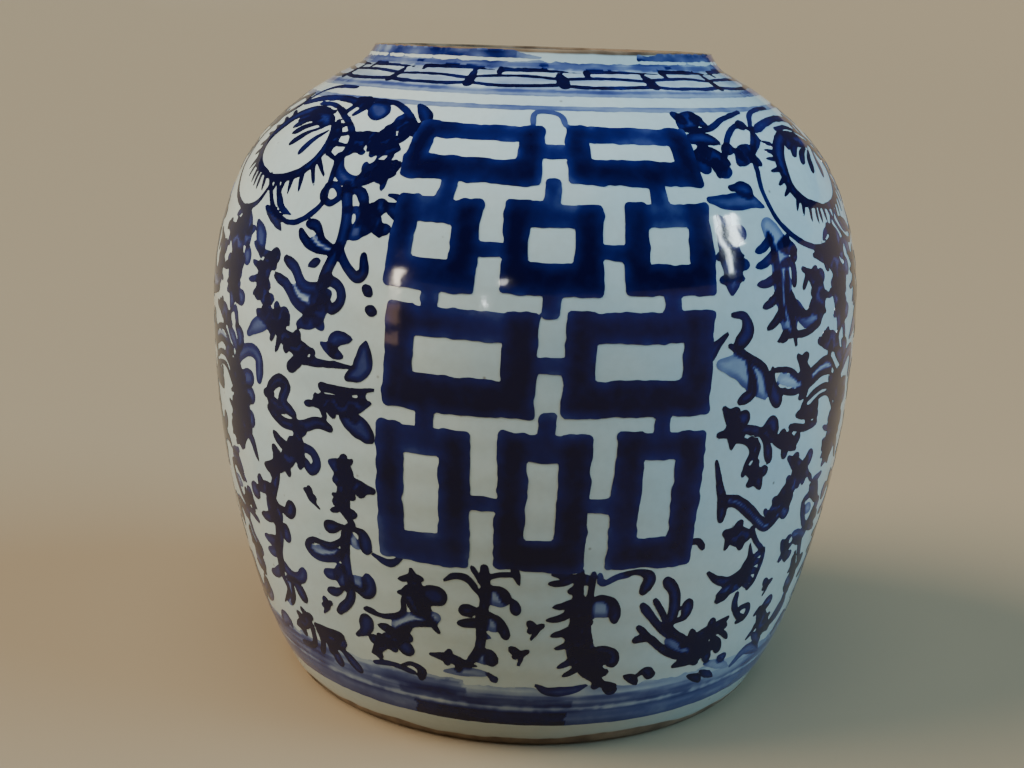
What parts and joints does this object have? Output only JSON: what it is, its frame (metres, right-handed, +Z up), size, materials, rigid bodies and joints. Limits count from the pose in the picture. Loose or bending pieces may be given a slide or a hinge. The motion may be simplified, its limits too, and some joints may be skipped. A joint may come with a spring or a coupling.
{
  "type": "ginger jar",
  "caption": "Broad round-shouldered ceramic ginger jar without its lid: low tapered neck collar, wide open mouth, swelling body and turned foot ring, in blue painting on white glaze.",
  "frame": {"origin": "centre of the resting plane under the foot ring", "axes": "+Z up along the jar's turning axis; the front panel of the painting faces -Y"},
  "size_m": [0.2212, 0.2212, 0.215],
  "materials": {
    "glaze": "glossy bluish white glaze over stoneware, opaque",
    "cobalt": "cobalt blue painting under the same glossy glaze, opaque",
    "bare_clay": "unglazed stoneware, fired brown, matt"
  },
  "bodies": {
    "root": {"foot_ring": "bare_clay", "base_floor": "glaze", "lower_body": "glaze", "waist_slip_band": "bare_clay", "upper_body": "glaze", "neck_slip_band": "bare_clay", "neck_collar": "glaze"}
  },
  "joints": []
}
